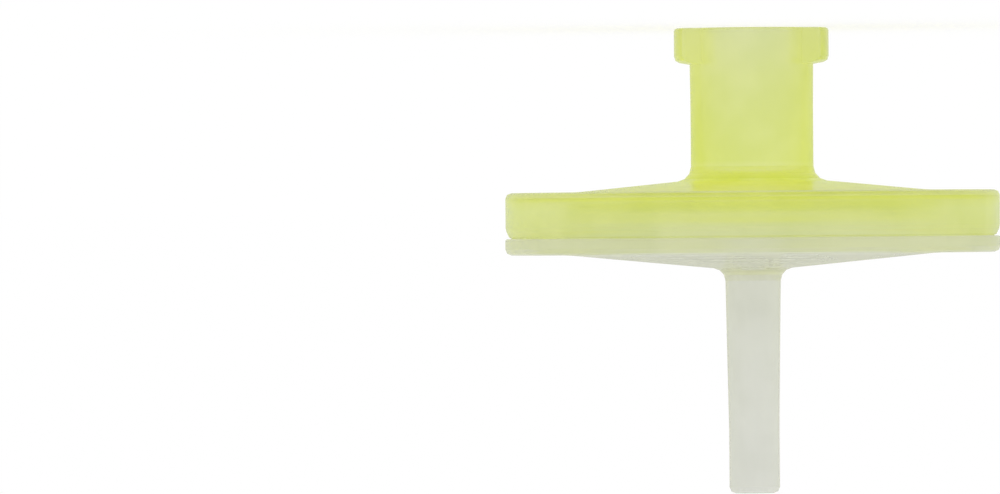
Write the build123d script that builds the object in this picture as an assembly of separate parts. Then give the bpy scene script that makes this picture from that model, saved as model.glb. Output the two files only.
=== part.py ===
"""Syringe filter, 25 mm across: two welded polypropylene housings with a membrane disc between them.

The pieces are drawn about the flow axis, with the weld plane at z = 0, the inlet above it and the
outlet below. The finished filter is then turned over, to stand on the mouth of its inlet.
"""

from build123d import *
import math
import os

# Rim of the round body
BODY_D = 25.0  # over the flange of the outlet housing
RIM_SETBACK = 0.02  # the coloured rim stands in from the flange all round
RIM_H = 2.32  # weld plane to the flat top of the coloured rim
FLANGE_T = 0.82  # weld plane to the flat underside of the flange
RIM_TOP_ROUND = 0.28
SKIRT_BEVEL_H = 0.42  # lower edge of the coloured rim, taller than it is wide
SKIRT_BEVEL_W = 0.19
SKIRT_BEVEL_ROUND = 0.45
FLANGE_EDGE_ROUND = 0.30
PARTING_ROUND = 0.07  # the edges on both sides of the parting line
SKIRT_GAP = 0.05  # left open at the parting line when the weld is done

# Conical faces of the body
ROOF_SHOULDER_W = 3.4  # flat top of the rim, before it turns up into the roof
ROOF_SLOPE = 5.6  # degrees
ROOF_WALL = 1.05
FUNNEL_SHOULDER_W = 2.95  # flat underside, before it turns down into the funnel
FUNNEL_SLOPE = 5.5  # degrees
FUNNEL_WALL = 1.0
CONE_BLEND = 8.0  # radius of the soft turn between each flat and its cone

# Inlet: female Luer lock socket with two lugs
HUB_H = 8.25  # flat top of the rim to the mouth
HUB_MOUTH_D = 6.28
HUB_WAIST_D = 6.19
HUB_WAIST_H = 4.3  # flat top of the rim to where the hub begins to widen
HUB_ROOT_ROUND = 0.75
HUB_EDGE_ROUND = 0.14
LUER_MOUTH_D = 4.30
LUER_TAPER = 0.06  # of diameter, per unit of length
LUER_CONE_L = 6.4
SOCKET_DEPTH = 7.3  # the last stretch, below the cone, is parallel
SOCKET_LEAD_IN = 0.10
ORIFICE_D = 1.5
LUG_SPAN = 7.82
LUG_H = 1.7
LUG_CHORD = 3.7
LUG_FLANK = 10.0  # degrees, underside of each lug
LUG_EDGE_ROUND = 0.32
LUG_TOP_ROUND = 0.15
LUG_END_ROUND = 0.25

# Outlet: slender tube with a parallel end
OUTLET_L = 12.1  # flat underside of the flange to the tip
OUTLET_TIP_D = 2.55
OUTLET_PARALLEL_L = 3.2
OUTLET_ROOT_D = 2.82
OUTLET_ROOT_ROUND = 0.65
OUTLET_TIP_ROUND = 0.32
OUTLET_BORE_TIP_D = 1.4
OUTLET_BORE_ROOT_D = 1.6

# Tongue and groove of the weld
SKIRT_T = 1.2  # coloured wall outside the groove
WELD_ROOF_T = 0.46  # coloured wall over the welded top of the tongue
TONGUE_T = 1.5
GROOVE_GAP = 0.05  # each side of the tongue

# Membrane and its seat
MEMBRANE_T = 0.15
MEMBRANE_GAP = 0.2  # membrane's edge to the tongue
SEAT_H = 0.60  # weld plane to the face that the membrane lies on
SEAT_W = 0.85
CLAMP_BEVEL = 0.2  # narrows the clamping edge to a sealing land

# Support ribs under the membrane, crossed by drain channels
RIB_FIRST_R = 2.4
RIB_PITCH = 1.3
RIB_T = 0.4
RIB_ROOT = 0.3  # how far each rib runs into the funnel wall
CHANNEL_COUNT = 6
CHANNEL_W = 0.7

# Rounded edges are turned as flats that stay this close to the true arc
ROUND_SAG = 0.025

# Radii that follow from the rim inwards
FLANGE_R = BODY_D / 2
RIM_R = FLANGE_R - RIM_SETBACK
GROOVE_OUTER_R = RIM_R - SKIRT_T
TONGUE_OUTER_R = GROOVE_OUTER_R - GROOVE_GAP
TONGUE_INNER_R = TONGUE_OUTER_R - TONGUE_T
GROOVE_INNER_R = TONGUE_INNER_R - GROOVE_GAP
MEMBRANE_R = TONGUE_INNER_R - MEMBRANE_GAP
SEAT_R = TONGUE_INNER_R - SEAT_W
ROOF_START_R = FLANGE_R - ROOF_SHOULDER_W
FUNNEL_START_R = FLANGE_R - FUNNEL_SHOULDER_W
SOCKET_R = LUER_MOUTH_D / 2 - LUER_TAPER / 2 * LUER_CONE_L

# Slopes and heights that follow
ROOF_RISE = math.tan(math.radians(ROOF_SLOPE))
FUNNEL_FALL = math.tan(math.radians(FUNNEL_SLOPE))
MOUTH_Z = RIM_H + HUB_H
TIP_Z = -FLANGE_T - OUTLET_L
TONGUE_H = RIM_H - WELD_ROOF_T
MEMBRANE_TOP = SEAT_H + MEMBRANE_T


def roof_z(r):
    """Height of the roof's outer face at radius r."""
    return RIM_H + (ROOF_START_R - r) * ROOF_RISE


def funnel_z(r):
    """Height of the funnel's outer face at radius r."""
    return -FLANGE_T - (FUNNEL_START_R - r) * FUNNEL_FALL


def rounded_corner(before, corner, after, radius):
    """Points of an arc of this radius between the two legs of a corner."""
    to_before = (before - corner).normalized()
    to_after = (after - corner).normalized()
    half = math.radians(to_before.get_angle(to_after)) / 2
    centre = corner + (to_before + to_after).normalized() * (radius / math.sin(half))
    start = corner + to_before * (radius / math.tan(half)) - centre
    end = corner + to_after * (radius / math.tan(half)) - centre
    turn = math.pi - 2 * half
    flats = math.ceil(turn / (2 * math.acos(1 - min(ROUND_SAG / radius, 1))))
    points = []
    for i in range(flats + 1):
        t = turn * i / flats
        along = (start * math.sin(turn - t) + end * math.sin(t)) / math.sin(turn)
        points.append(centre + along)
    return points


def section(corners):
    """Face through (r, z, rounding) corners, ready to be turned about the flow axis."""
    spots = [Vector(r, z) for r, z, _ in corners]
    points = []
    for i, (_, _, radius) in enumerate(corners):
        if radius:
            points += rounded_corner(spots[i - 1], spots[i], spots[(i + 1) % len(spots)], radius)
        else:
            points.append(spots[i])
    return make_face(Polyline(*points, close=True))


def turned(face):
    """The (r, z) face revolved about the flow axis."""
    return revolve(Plane.XZ * face, Axis.Z)


def inlet_section():
    """Half section of the inlet housing without its lugs, from the mouth outwards and round."""
    hub_r = HUB_WAIST_D / 2
    orifice_r = ORIFICE_D / 2
    lead_r = LUER_MOUTH_D / 2 - LUER_TAPER / 2 * SOCKET_LEAD_IN
    return section([
        (lead_r, MOUTH_Z - SOCKET_LEAD_IN, 0),
        (LUER_MOUTH_D / 2 + SOCKET_LEAD_IN, MOUTH_Z, 0),
        (HUB_MOUTH_D / 2, MOUTH_Z, HUB_EDGE_ROUND),
        (hub_r, RIM_H + HUB_WAIST_H, 0),
        (hub_r, roof_z(hub_r), HUB_ROOT_ROUND),
        (ROOF_START_R, RIM_H, CONE_BLEND),
        (RIM_R, RIM_H, RIM_TOP_ROUND),
        (RIM_R, SKIRT_GAP + SKIRT_BEVEL_H, SKIRT_BEVEL_ROUND),
        (RIM_R - SKIRT_BEVEL_W, SKIRT_GAP, PARTING_ROUND),
        (GROOVE_OUTER_R, SKIRT_GAP, 0),
        (GROOVE_OUTER_R, TONGUE_H, 0),
        (GROOVE_INNER_R, TONGUE_H, 0),
        (GROOVE_INNER_R, MEMBRANE_TOP, 0),
        (SEAT_R + CLAMP_BEVEL, MEMBRANE_TOP, 0),
        (SEAT_R, MEMBRANE_TOP + CLAMP_BEVEL, 0),
        (SEAT_R, roof_z(SEAT_R) - ROOF_WALL, 0),
        (orifice_r, roof_z(orifice_r) - ROOF_WALL, 0),
        (orifice_r, MOUTH_Z - SOCKET_DEPTH, 0),
        (SOCKET_R, MOUTH_Z - SOCKET_DEPTH, 0),
        (SOCKET_R, MOUTH_Z - LUER_CONE_L, 0),
    ])


def lugs():
    """The two lugs at the mouth: a turned collar with a sloping underside, kept over two chords only."""
    root_r = (HUB_MOUTH_D + LUER_MOUTH_D) / 4
    outer_r = LUG_SPAN / 2
    drop = (outer_r - root_r) * math.tan(math.radians(LUG_FLANK))
    under = MOUTH_Z - LUG_H
    collar = turned(section([
        (root_r, MOUTH_Z, 0),
        (outer_r, MOUTH_Z, LUG_TOP_ROUND),
        (outer_r, under, LUG_EDGE_ROUND),
        (root_r, under - drop, 0),
    ]))
    plan = Circle(outer_r) & Rectangle(2 * LUG_SPAN, LUG_CHORD)
    plan = fillet(plan.vertices(), LUG_END_ROUND)
    return collar & Pos(0, 0, MOUTH_Z) * extrude(plan, -2 * LUG_H)


def inlet_housing():
    """Coloured half: Luer hub, conical roof and rim, with the groove and the clamping edge inside."""
    return turned(inlet_section()) + lugs()


def outlet_section():
    """Half section of the outlet housing without its ribs, from the tip outwards and round."""
    root_r = OUTLET_ROOT_D / 2
    tip_r = OUTLET_TIP_D / 2
    bore_r = OUTLET_BORE_ROOT_D / 2
    return section([
        (OUTLET_BORE_TIP_D / 2, TIP_Z, 0),
        (tip_r, TIP_Z, OUTLET_TIP_ROUND),
        (tip_r, TIP_Z + OUTLET_PARALLEL_L, 0),
        (root_r, funnel_z(root_r), OUTLET_ROOT_ROUND),
        (FUNNEL_START_R, -FLANGE_T, CONE_BLEND),
        (FLANGE_R, -FLANGE_T, FLANGE_EDGE_ROUND),
        (FLANGE_R, 0, PARTING_ROUND),
        (TONGUE_OUTER_R, 0, 0),
        (TONGUE_OUTER_R, TONGUE_H, 0),
        (TONGUE_INNER_R, TONGUE_H, 0),
        (TONGUE_INNER_R, SEAT_H, 0),
        (SEAT_R, SEAT_H, 0),
        (SEAT_R, funnel_z(SEAT_R) + FUNNEL_WALL, 0),
        (bore_r, funnel_z(bore_r) + FUNNEL_WALL, 0),
    ])


def support_ribs():
    """Rings that hold the membrane up, with gaps in line as channels to the outlet's bore."""
    rings = []
    for i in range(1 + int((SEAT_R - RIB_FIRST_R) / RIB_PITCH)):
        r = RIB_FIRST_R + i * RIB_PITCH
        foot = funnel_z(r) + FUNNEL_WALL - RIB_ROOT
        ring = Pos(r, foot) * Rectangle(RIB_T, SEAT_H - foot, align=(Align.CENTER, Align.MIN))
        rings.append(turned(ring))
    channel = Box(2 * SEAT_R, CHANNEL_W, 8 * FUNNEL_WALL)
    channels = [Rot(0, 0, 360 / CHANNEL_COUNT * i) * channel for i in range(CHANNEL_COUNT // 2)]
    return Part() + rings - channels


def outlet_housing():
    """Natural half: flange, welded tongue, membrane seat with ribs, funnel and outlet tube."""
    return turned(outlet_section()) + support_ribs()


def membrane():
    """Porous disc that lies on the ribs and the seat, clamped by the inlet housing's edge."""
    on_its_face = (Align.CENTER, Align.CENTER, Align.MIN)
    return Pos(0, 0, SEAT_H) * Cylinder(MEMBRANE_R, MEMBRANE_T, align=on_its_face)


def standing_place():
    """Where the loose filter stands: turned over, with the flat mouth of its inlet on the ground."""
    return Pos(0, 0, MOUTH_Z) * Rot(180, 0, 0)


def main():
    nodes = {
        "inlet_housing": inlet_housing(),
        "membrane": membrane(),
        "outlet_housing": outlet_housing(),
    }
    place = standing_place()
    os.makedirs("parts", exist_ok=True)
    for name, piece in nodes.items():
        export_step(place * piece, f"parts/{name}.step")


main()
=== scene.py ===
import math

import bpy
from mathutils import Matrix, Vector


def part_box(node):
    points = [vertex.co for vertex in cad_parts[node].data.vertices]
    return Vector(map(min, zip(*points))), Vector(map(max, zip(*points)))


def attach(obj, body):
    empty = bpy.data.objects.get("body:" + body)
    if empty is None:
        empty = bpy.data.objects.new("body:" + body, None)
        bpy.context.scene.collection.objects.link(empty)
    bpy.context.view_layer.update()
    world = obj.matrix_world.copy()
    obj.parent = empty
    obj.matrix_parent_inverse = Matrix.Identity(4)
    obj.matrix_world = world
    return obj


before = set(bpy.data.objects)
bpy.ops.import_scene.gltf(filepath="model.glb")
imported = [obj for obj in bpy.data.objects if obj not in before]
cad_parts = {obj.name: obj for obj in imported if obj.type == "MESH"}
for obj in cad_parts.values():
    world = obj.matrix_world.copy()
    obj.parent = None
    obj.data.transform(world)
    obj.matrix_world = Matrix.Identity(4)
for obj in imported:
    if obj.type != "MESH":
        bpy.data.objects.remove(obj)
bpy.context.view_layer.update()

# ---------------------------------------------------------------------------
# Outlet housing: one moulding in natural, milky polypropylene, with a flange,
# a shallow funnel and a slender tube. The mould left it satin. Its hidden
# tongue is welded into the coloured half, which tints it along the joint.
# ---------------------------------------------------------------------------

MILLIMETRES_PER_METRE = 1000


def place_on_filter():
    """Node group: a spot's place, radius from the flow axis and height over the mouth, in millimetres."""
    group = bpy.data.node_groups.new("place_on_filter", "ShaderNodeTree")
    for name, kind in (
        ("Place", "NodeSocketVector"),
        ("Radius", "NodeSocketFloat"),
        ("Height", "NodeSocketFloat"),
    ):
        group.interface.new_socket(name=name, in_out="OUTPUT", socket_type=kind)
    nodes, links = group.nodes, group.links
    coords = nodes.new("ShaderNodeTexCoord")
    millimetres = nodes.new("ShaderNodeMapping")
    millimetres.inputs["Scale"].default_value = 3 * (MILLIMETRES_PER_METRE,)
    split = nodes.new("ShaderNodeSeparateXYZ")
    across = nodes.new("ShaderNodeCombineXYZ")
    radius = nodes.new("ShaderNodeVectorMath")
    radius.operation = "LENGTH"
    out = nodes.new("NodeGroupOutput")
    links.new(coords.outputs["Object"], millimetres.inputs["Vector"])
    links.new(millimetres.outputs["Vector"], split.inputs["Vector"])
    links.new(split.outputs["X"], across.inputs["X"])
    links.new(split.outputs["Y"], across.inputs["Y"])
    links.new(across.outputs["Vector"], radius.inputs[0])
    links.new(millimetres.outputs["Vector"], out.inputs["Place"])
    links.new(radius.outputs["Value"], out.inputs["Radius"])
    links.new(split.outputs["Z"], out.inputs["Height"])
    return group


def moulded_satin():
    """Node group: the fine satin grain that the mould leaves, and soft clouds of milk in the resin."""
    group = bpy.data.node_groups.new("moulded_satin", "ShaderNodeTree")
    for name, kind, value in (
        ("Place", "NodeSocketVector", None),
        ("Resin", "NodeSocketColor", None),
        ("Clouds per mm", "NodeSocketFloat", 0.3),
        ("Milk in the clouds", "NodeSocketFloat", 0.1),
        ("Grain per mm", "NodeSocketFloat", 7.0),
        ("Grain depth", "NodeSocketFloat", 0.000001),
        ("Roughness", "NodeSocketFloat", 0.22),
        ("Unevenness", "NodeSocketFloat", 0.05),
    ):
        socket = group.interface.new_socket(name=name, in_out="INPUT", socket_type=kind)
        if value is not None:
            socket.default_value = value
    for name, kind in (
        ("Colour", "NodeSocketColor"),
        ("Roughness", "NodeSocketFloat"),
        ("Normal", "NodeSocketVector"),
    ):
        group.interface.new_socket(name=name, in_out="OUTPUT", socket_type=kind)
    nodes, links = group.nodes, group.links
    inputs = nodes.new("NodeGroupInput")
    out = nodes.new("NodeGroupOutput")
    grain = nodes.new("ShaderNodeTexNoise")
    grain.inputs["Detail"].default_value = 3
    grain.inputs["Roughness"].default_value = 0.6
    dull = nodes.new("ShaderNodeBump")
    clouds = nodes.new("ShaderNodeTexNoise")
    clouds.inputs["Detail"].default_value = 2
    spread = nodes.new("ShaderNodeMapRange")
    spread.interpolation_type = "SMOOTHSTEP"
    spread.inputs["From Min"].default_value = 0.35
    spread.inputs["From Max"].default_value = 0.65
    milk = nodes.new("ShaderNodeMath")
    milk.operation = "MULTIPLY"
    colour = nodes.new("ShaderNodeMix")
    colour.data_type = "RGBA"
    colour.inputs["B"].default_value = (1, 1, 1, 1)
    uneven = nodes.new("ShaderNodeMath")
    uneven.operation = "MULTIPLY_ADD"
    links.new(inputs.outputs["Place"], grain.inputs["Vector"])
    links.new(inputs.outputs["Grain per mm"], grain.inputs["Scale"])
    links.new(grain.outputs["Fac"], dull.inputs["Height"])
    links.new(inputs.outputs["Grain depth"], dull.inputs["Distance"])
    links.new(inputs.outputs["Place"], clouds.inputs["Vector"])
    links.new(inputs.outputs["Clouds per mm"], clouds.inputs["Scale"])
    links.new(clouds.outputs["Fac"], spread.inputs["Value"])
    links.new(spread.outputs["Result"], milk.inputs[0])
    links.new(inputs.outputs["Milk in the clouds"], milk.inputs[1])
    links.new(milk.outputs["Value"], colour.inputs["Factor"])
    links.new(inputs.outputs["Resin"], colour.inputs["A"])
    links.new(spread.outputs["Result"], uneven.inputs[0])
    links.new(inputs.outputs["Unevenness"], uneven.inputs[1])
    links.new(inputs.outputs["Roughness"], uneven.inputs[2])
    links.new(colour.outputs["Result"], out.inputs["Colour"])
    links.new(uneven.outputs["Value"], out.inputs["Roughness"])
    links.new(dull.outputs["Normal"], out.inputs["Normal"])
    return group


def swatch(red, green, blue):
    """A colour as read off a swatch, 0 to 255, in the linear light that the shaders want."""
    def linear(channel):
        channel /= 255
        return channel / 12.92 if channel <= 0.04045 else ((channel + 0.055) / 1.055) ** 2.4
    return (linear(red), linear(green), linear(blue), 1.0)


def colour_by(nodes, links, height, steps):
    """Colour that follows the height through steps of (millimetres over the mouth, swatch)."""
    lowest = steps[0][0]
    highest = steps[-1][0]
    fit = nodes.new("ShaderNodeMapRange")
    fit.inputs["From Min"].default_value = lowest
    fit.inputs["From Max"].default_value = highest
    ramp = nodes.new("ShaderNodeValToRGB")
    while len(ramp.color_ramp.elements) < len(steps):
        ramp.color_ramp.elements.new(0.5)
    for element, (at, colour) in zip(ramp.color_ramp.elements, steps):
        element.position = (at - lowest) / (highest - lowest)
        element.color = colour
    links.new(height, fit.inputs["Value"])
    links.new(fit.outputs["Result"], ramp.inputs["Fac"])
    return ramp.outputs["Color"]


def maths(nodes, links, operation, *values):
    """Socket with the outcome of one Math node on plain numbers and sockets."""
    node = nodes.new("ShaderNodeMath")
    node.operation = operation
    for i, value in enumerate(values):
        if isinstance(value, (int, float)):
            node.inputs[i].default_value = value
        else:
            links.new(value, node.inputs[i])
    return node.outputs["Value"]


PLACE = place_on_filter()
SATIN = moulded_satin()

# The clear resin bends light more than this, by 1.49, but the milk in it
# breaks the bend up, so that the walls inside show about where they are.
MILKY_IOR = 1.28
MILK_SHARE = 0.35

# The weld is the tongue's top, which is the outlet housing's lowest face. The
# ring is a hair wider than the groove that the tongue runs in. A ray that has
# come less far than STARTS_ON_WELD set out from the weld itself.
WELD_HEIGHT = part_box("outlet_housing")[0][2]
WELD_RADII = (0.00965, 0.0113)
WELD_LEEWAY = 0.00002
WELD_WHITE = (0.93, 0.93, 0.9, 1)
STARTS_ON_WELD = 0.000001


def milky_plastic(name, inside, absorbed):
    """Milky polypropylene: a satin skin with a share of milk, over a body that tints light on its way."""
    material = bpy.data.materials.new(name)
    material.use_nodes = True
    nodes, links = material.node_tree.nodes, material.node_tree.links
    nodes.clear()
    out = nodes.new("ShaderNodeOutputMaterial")
    place = nodes.new("ShaderNodeGroup")
    place.node_tree = PLACE
    satin = nodes.new("ShaderNodeGroup")
    satin.node_tree = SATIN
    links.new(place.outputs["Place"], satin.inputs["Place"])
    rays = nodes.new("ShaderNodeLightPath")

    # The skin colours light once, where it comes out, and not at every wall.
    once = nodes.new("ShaderNodeMix")
    once.data_type = "RGBA"
    once.inputs["A"].default_value = inside
    links.new(rays.outputs["Is Camera Ray"], once.inputs["Factor"])
    links.new(satin.outputs["Colour"], once.inputs["B"])
    clear = nodes.new("ShaderNodeBsdfPrincipled")
    clear.inputs["Transmission Weight"].default_value = 1.0
    clear.inputs["IOR"].default_value = MILKY_IOR
    links.new(once.outputs["Result"], clear.inputs["Base Color"])
    links.new(satin.outputs["Roughness"], clear.inputs["Roughness"])
    links.new(satin.outputs["Normal"], clear.inputs["Normal"])
    milky = nodes.new("ShaderNodeBsdfPrincipled")
    milky.inputs["IOR"].default_value = MILKY_IOR
    milky.inputs["Specular IOR Level"].default_value = 0.0
    links.new(satin.outputs["Colour"], milky.inputs["Base Color"])
    links.new(satin.outputs["Normal"], milky.inputs["Normal"])
    milk_seen = maths(nodes, links, "MULTIPLY", rays.outputs["Is Camera Ray"], MILK_SHARE)
    body = nodes.new("ShaderNodeMixShader")
    links.new(milk_seen, body.inputs["Fac"])
    links.new(clear.outputs["BSDF"], body.inputs[1])
    links.new(milky.outputs["BSDF"], body.inputs[2])

    # In the weld the two halves share one wall. It takes light in like milk,
    # and lets a ray that starts on it pass.
    coords = nodes.new("ShaderNodeTexCoord")
    split = nodes.new("ShaderNodeSeparateXYZ")
    links.new(coords.outputs["Object"], split.inputs["Vector"])
    level = maths(nodes, links, "COMPARE", split.outputs["Z"], WELD_HEIGHT, WELD_LEEWAY)
    across = maths(nodes, links, "MULTIPLY", split.outputs["X"], split.outputs["X"])
    across = maths(nodes, links, "MULTIPLY_ADD", split.outputs["Y"], split.outputs["Y"], across)
    outside = maths(nodes, links, "GREATER_THAN", across, WELD_RADII[0] ** 2)
    within = maths(nodes, links, "LESS_THAN", across, WELD_RADII[1] ** 2)
    ring = maths(nodes, links, "MULTIPLY", outside, within)
    weld = maths(nodes, links, "MULTIPLY", level, ring)
    fused = nodes.new("ShaderNodeBsdfDiffuse")
    fused.inputs["Color"].default_value = WELD_WHITE
    passing = nodes.new("ShaderNodeBsdfTransparent")
    arrives = maths(nodes, links, "GREATER_THAN", rays.outputs["Ray Length"], STARTS_ON_WELD)
    joint = nodes.new("ShaderNodeMixShader")
    links.new(arrives, joint.inputs["Fac"])
    links.new(passing.outputs["BSDF"], joint.inputs[1])
    links.new(fused.outputs["BSDF"], joint.inputs[2])
    surface = nodes.new("ShaderNodeMixShader")
    links.new(weld, surface.inputs["Fac"])
    links.new(body.outputs["Shader"], surface.inputs[1])
    links.new(joint.outputs["Shader"], surface.inputs[2])
    links.new(surface.outputs["Shader"], out.inputs["Surface"])

    # What a millimetre of the resin takes out of red, green and blue light.
    tint = nodes.new("ShaderNodeVolumeAbsorption")
    tint.inputs["Color"].default_value = (*[1 - taken for taken in absorbed], 1)
    tint.inputs["Density"].default_value = MILLIMETRES_PER_METRE
    links.new(tint.outputs["Volume"], out.inputs["Volume"])
    return material, nodes, links, place, satin


natural, nodes, links, place, satin = milky_plastic(
    "natural_polypropylene", inside=(0.97, 0.97, 0.96, 1), absorbed=(0.004, 0.003, 0.03))

# Heights over the mouth at which the colour turns, in millimetres: the resin's own tint, with painted
# shade that makes the funnel darker than the flange and the tube.
FLANGE_END = 11.3
FUNNEL_START = 11.5
FUNNEL_END = 12.1
TUBE_START = 12.4
TUBE_TIP = 23.5
flange_resin = swatch(194, 199, 181)
# Painted shade: the funnel is coloured darker than the flange and the tube beside it.
funnel_resin_and_painted_shade = swatch(166, 170, 149)
tube_root_resin = swatch(190, 193, 177)
tube_tip_resin = swatch(197, 199, 190)
skin = colour_by(nodes, links, place.outputs["Height"], (
    (FLANGE_END, flange_resin),
    (FUNNEL_START, funnel_resin_and_painted_shade),
    (FUNNEL_END, funnel_resin_and_painted_shade),
    (TUBE_START, tube_root_resin),
    (TUBE_TIP, tube_tip_resin),
))
links.new(skin, satin.inputs["Resin"])
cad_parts["outlet_housing"].data.materials.clear()
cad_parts["outlet_housing"].data.materials.append(natural)

# ---------------------------------------------------------------------------
# Membrane: a thin white porous disc laid over the drain ribs. It is clamped
# at its edge when the two halves are welded, and shows only through them.
# ---------------------------------------------------------------------------

porous = bpy.data.materials.new("porous_membrane")
porous.use_nodes = True
nodes, links = porous.node_tree.nodes, porous.node_tree.links
body = nodes["Principled BSDF"]
place = nodes.new("ShaderNodeGroup")
place.node_tree = PLACE
pores = nodes.new("ShaderNodeTexNoise")
pores.inputs["Scale"].default_value = 14
pores.inputs["Detail"].default_value = 4
tone = nodes.new("ShaderNodeValToRGB")
tone.color_ramp.elements[0].position = 0.3
tone.color_ramp.elements[0].color = swatch(246, 246, 244)
tone.color_ramp.elements[1].position = 0.7
tone.color_ramp.elements[1].color = swatch(252, 252, 251)
bump = nodes.new("ShaderNodeBump")
bump.inputs["Distance"].default_value = 0.000004
links.new(place.outputs["Place"], pores.inputs["Vector"])
links.new(pores.outputs["Fac"], tone.inputs["Fac"])
links.new(tone.outputs["Color"], body.inputs["Base Color"])
links.new(pores.outputs["Fac"], bump.inputs["Height"])
links.new(bump.outputs["Normal"], body.inputs["Normal"])
body.inputs["Roughness"].default_value = 0.9
faces = nodes.new("ShaderNodeNewGeometry")
let_through = nodes.new("ShaderNodeBsdfTransparent")
surface = nodes.new("ShaderNodeMixShader")
links.new(faces.outputs["Backfacing"], surface.inputs["Fac"])
links.new(body.outputs["BSDF"], surface.inputs[1])
links.new(let_through.outputs["BSDF"], surface.inputs[2])
links.new(surface.outputs["Shader"], nodes["Material Output"].inputs["Surface"])
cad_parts["membrane"].data.materials.clear()
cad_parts["membrane"].data.materials.append(porous)

# ---------------------------------------------------------------------------
# Inlet housing: one moulding in yellow-green polypropylene, with the Luer
# lock hub, the roof and the rim. It closes over the membrane and is welded
# down on the tongue of the other half, which shows through as a pale ring.
# ---------------------------------------------------------------------------


def colour_past(nodes, links, radius, edge, inner, outer):
    """Colour that turns from the inner to the outer one between an edge's two radii, in millimetres."""
    reached = nodes.new("ShaderNodeMapRange")
    reached.interpolation_type = "SMOOTHSTEP"
    reached.inputs["From Min"].default_value = edge[0]
    reached.inputs["From Max"].default_value = edge[1]
    turned = nodes.new("ShaderNodeMix")
    turned.data_type = "RGBA"
    links.new(radius, reached.inputs["Value"])
    links.new(reached.outputs["Result"], turned.inputs["Factor"])
    for end, colour in (("A", inner), ("B", outer)):
        if isinstance(colour, tuple):
            turned.inputs[end].default_value = colour
        else:
            links.new(colour, turned.inputs[end])
    return turned.outputs["Result"]


coloured, nodes, links, place, satin = milky_plastic(
    "yellow_polypropylene", inside=(0.99, 0.99, 0.99, 1), absorbed=(0.006, 0.004, 0.31))

# Heights over the mouth at which the colour of the hub and roof turns.
MOUTH = 0
SOCKET_MIDDLE = 2.5
HUB_FOOT = 6.7
SOCKET_FLOOR = 7.3
ROOF_START = 7.7
ROOF_END = 8.3
mouth_resin = swatch(197, 207, 176)
hub_resin = swatch(198, 210, 149)
hub_foot_resin = swatch(201, 215, 134)
socket_floor_resin = swatch(211, 221, 178)
roof_resin = swatch(195, 203, 123)
hub_skin = colour_by(nodes, links, place.outputs["Height"], (
    (MOUTH, mouth_resin),
    (SOCKET_MIDDLE, hub_resin),
    (HUB_FOOT, hub_foot_resin),
    (SOCKET_FLOOR, socket_floor_resin),
    (ROOF_START, hub_foot_resin),
    (ROOF_END, roof_resin),
))

# The same for the rim, from its flat top to the parting line.
RIM_TOP = 8.25
RIM_EDGE = 8.35
RIM_SHOULDER = 8.7
RIM_MIDDLE = 9.2
RIM_FOOT = 10.5
rim_top_resin = swatch(189, 198, 158)
rim_edge_resin = swatch(197, 206, 158)
rim_shoulder_resin = swatch(204, 214, 150)
rim_side_resin = swatch(202, 213, 168)
rim_foot_resin = swatch(194, 204, 155)
rim_skin = colour_by(nodes, links, place.outputs["Height"], (
    (RIM_TOP, rim_top_resin),
    (RIM_EDGE, rim_edge_resin),
    (RIM_SHOULDER, rim_shoulder_resin),
    (RIM_MIDDLE, rim_side_resin),
    (RIM_FOOT, rim_foot_resin),
))

# Radii between which the roof passes into the ring over the weld, and the ring
# into the rim, in millimetres.
ROOF_EDGE = (8.7, 9.8)
TONGUE_EDGE = (11.1, 11.4)
over_weld_resin = swatch(194, 201, 180)
skin = colour_past(nodes, links, place.outputs["Radius"], ROOF_EDGE, hub_skin, over_weld_resin)
skin = colour_past(nodes, links, place.outputs["Radius"], TONGUE_EDGE, skin, rim_skin)
links.new(skin, satin.inputs["Resin"])
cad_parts["inlet_housing"].data.materials.clear()
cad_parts["inlet_housing"].data.materials.append(coloured)

# ---------------------------------------------------------------------------
# Weld flash: a thin bead of the coloured rim's own melt, which the weld
# pressed out all round into the narrow gap between the two halves.
# ---------------------------------------------------------------------------

PARTING_GAP = 0.00005
FLASH_CLEARANCE = 0.000004
FLASH_SETBACK = 0.00028
FLASH_WIDTH = 0.0003
FLASH_SIDES = 256
SHARP_CORNER = math.radians(40)
rim_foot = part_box("inlet_housing")[1][2]
rim_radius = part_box("inlet_housing")[1][0]
flash_radius = rim_radius - FLASH_SETBACK
inner_radius = flash_radius - FLASH_WIDTH
flash_height = PARTING_GAP - 2 * FLASH_CLEARANCE

bpy.ops.object.select_all(action="DESELECT")
bpy.ops.mesh.primitive_circle_add(
    vertices=FLASH_SIDES, radius=inner_radius, location=(0, 0, rim_foot + FLASH_CLEARANCE))
flash = bpy.context.object
flash.name = "weld_flash"
bpy.ops.object.transform_apply()
bpy.ops.object.mode_set(mode="EDIT")
bpy.ops.mesh.select_all(action="SELECT")
bpy.ops.mesh.extrude_edges_move()
widen = flash_radius / inner_radius
bpy.ops.transform.resize(value=(widen, widen, 1), center_override=(0, 0, 0))
bpy.ops.mesh.select_all(action="SELECT")
bpy.ops.mesh.extrude_region_move(TRANSFORM_OT_translate={"value": (0, 0, flash_height)})
bpy.ops.mesh.select_all(action="SELECT")
bpy.ops.mesh.normals_make_consistent(inside=False)
bpy.ops.object.mode_set(mode="OBJECT")
rounding = flash.modifiers.new("rounded edges", "BEVEL")
rounding.width = flash_height / 3
rounding.segments = 2
rounding.limit_method = "ANGLE"
bpy.ops.object.modifier_apply(modifier=rounding.name)
bpy.ops.object.shade_smooth_by_angle(angle=SHARP_CORNER)
flash.data.materials.append(coloured)
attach(flash, "root")

# ---------------------------------------------------------------------------
# Plain pale floor, which keeps the filter's shadow, and soft studio light
# from a white tent. Both show white, and white through the plastic too.
# ---------------------------------------------------------------------------

FLOOR_SIZE = 40
WHITE_TO_THE_EYE = 0.8

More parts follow.
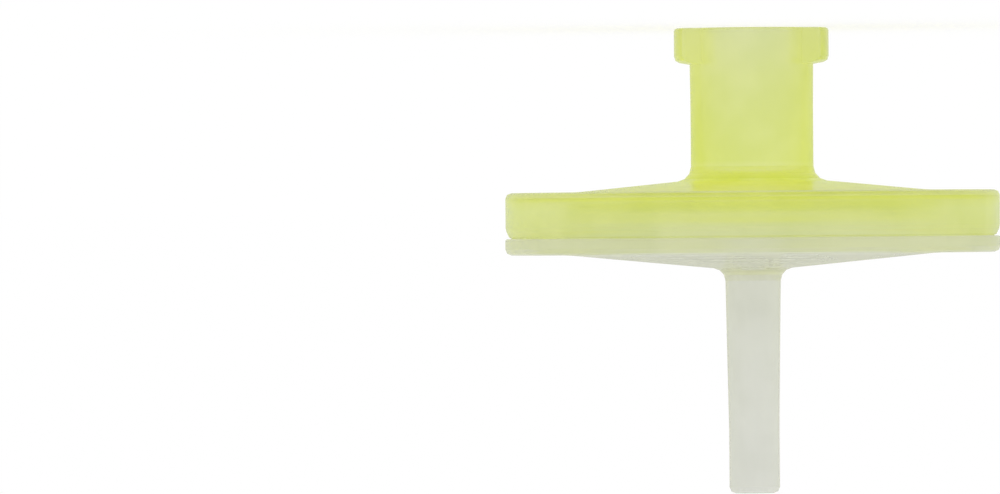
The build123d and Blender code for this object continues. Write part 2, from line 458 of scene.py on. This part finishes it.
bpy.ops.object.select_all(action="DESELECT")
bpy.ops.mesh.primitive_plane_add(size=FLOOR_SIZE)
floor = bpy.context.object
floor.name = "floor"
pale = bpy.data.materials.new("pale_floor")
pale.use_nodes = True
nodes, links = pale.node_tree.nodes, pale.node_tree.links
nodes.clear()
out = nodes.new("ShaderNodeOutputMaterial")
paper = nodes.new("ShaderNodeBsdfDiffuse")
paper.inputs["Color"].default_value = (0.9, 0.9, 0.9, 1)
white = nodes.new("ShaderNodeEmission")
rays = nodes.new("ShaderNodeLightPath")
to_the_eye = maths(nodes, links, "MULTIPLY", rays.outputs["Is Camera Ray"], WHITE_TO_THE_EYE)
seen = maths(nodes, links, "MAXIMUM", to_the_eye, rays.outputs["Is Glossy Ray"])
seen = maths(nodes, links, "MAXIMUM", seen, rays.outputs["Is Transmission Ray"])
surface = nodes.new("ShaderNodeMixShader")
links.new(seen, surface.inputs["Fac"])
links.new(paper.outputs["BSDF"], surface.inputs[1])
links.new(white.outputs["Emission"], surface.inputs[2])
links.new(surface.outputs["Shader"], out.inputs["Surface"])
floor.data.materials.append(pale)

# The tent lights the filter a little more strongly than the white it shows as.
LIGHT = 1.12
world = bpy.data.worlds.new("soft_studio")
bpy.context.scene.world = world
world.use_nodes = True
nodes, links = world.node_tree.nodes, world.node_tree.links
backdrop = nodes["Background"]
backdrop.inputs["Color"].default_value = (1, 1, 1, 1)
rays = nodes.new("ShaderNodeLightPath")
seen = maths(nodes, links, "MAXIMUM", rays.outputs["Is Camera Ray"], rays.outputs["Is Glossy Ray"])
seen = maths(nodes, links, "MAXIMUM", seen, rays.outputs["Is Transmission Ray"])
links.new(maths(nodes, links, "MULTIPLY_ADD", seen, 1.0 - LIGHT, LIGHT), backdrop.inputs["Strength"])

# Light finds its way out of the milky plastic only after many turns.
light_paths = bpy.context.scene.cycles
light_paths.max_bounces = 128
light_paths.volume_bounces = 96
light_paths.transmission_bounces = 96
light_paths.glossy_bounces = 96
light_paths.diffuse_bounces = 12
light_paths.blur_glossy = 0

# ---------------------------------------------------------------------------
# Camera: square on to the flow axis and level with the membrane. It hangs upside
# down, so that the inlet, on which the filter stands, is at the picture's top.
# ---------------------------------------------------------------------------

SENSOR_WIDTH = 36
DISTANCE = 0.6
PICTURE_WIDTH = 0.0505
RIGHT_OF_MIDDLE = 0.01276
ABOVE_MIDDLE = 0.00124
TURN = math.radians(0.47)

ahead = Vector((0, 1, 0))
up = Vector((0, 0, -1))
right = ahead.cross(up)
frame_up = up * math.cos(TURN) + right * math.sin(TURN)
frame_right = right * math.cos(TURN) - up * math.sin(TURN)
level = Vector((0, 0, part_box("membrane")[0][2]))
stand = level - ahead * DISTANCE
aim = level - frame_right * RIGHT_OF_MIDDLE - frame_up * ABOVE_MIDDLE
look = (aim - stand).normalized()
side = look.cross(frame_up).normalized()
above = side.cross(look)
bpy.ops.object.camera_add()
camera = bpy.context.object
camera.data.sensor_width = SENSOR_WIDTH
camera.data.lens = SENSOR_WIDTH * DISTANCE / PICTURE_WIDTH
camera.data.clip_start = 0.01
camera.data.clip_end = 10
camera.matrix_world = Matrix((
    (side.x, above.x, -look.x, stand.x),
    (side.y, above.y, -look.y, stand.y),
    (side.z, above.z, -look.z, stand.z),
    (0, 0, 0, 1),
))
bpy.context.scene.camera = camera

bpy.context.scene.view_settings.view_transform = "Standard"
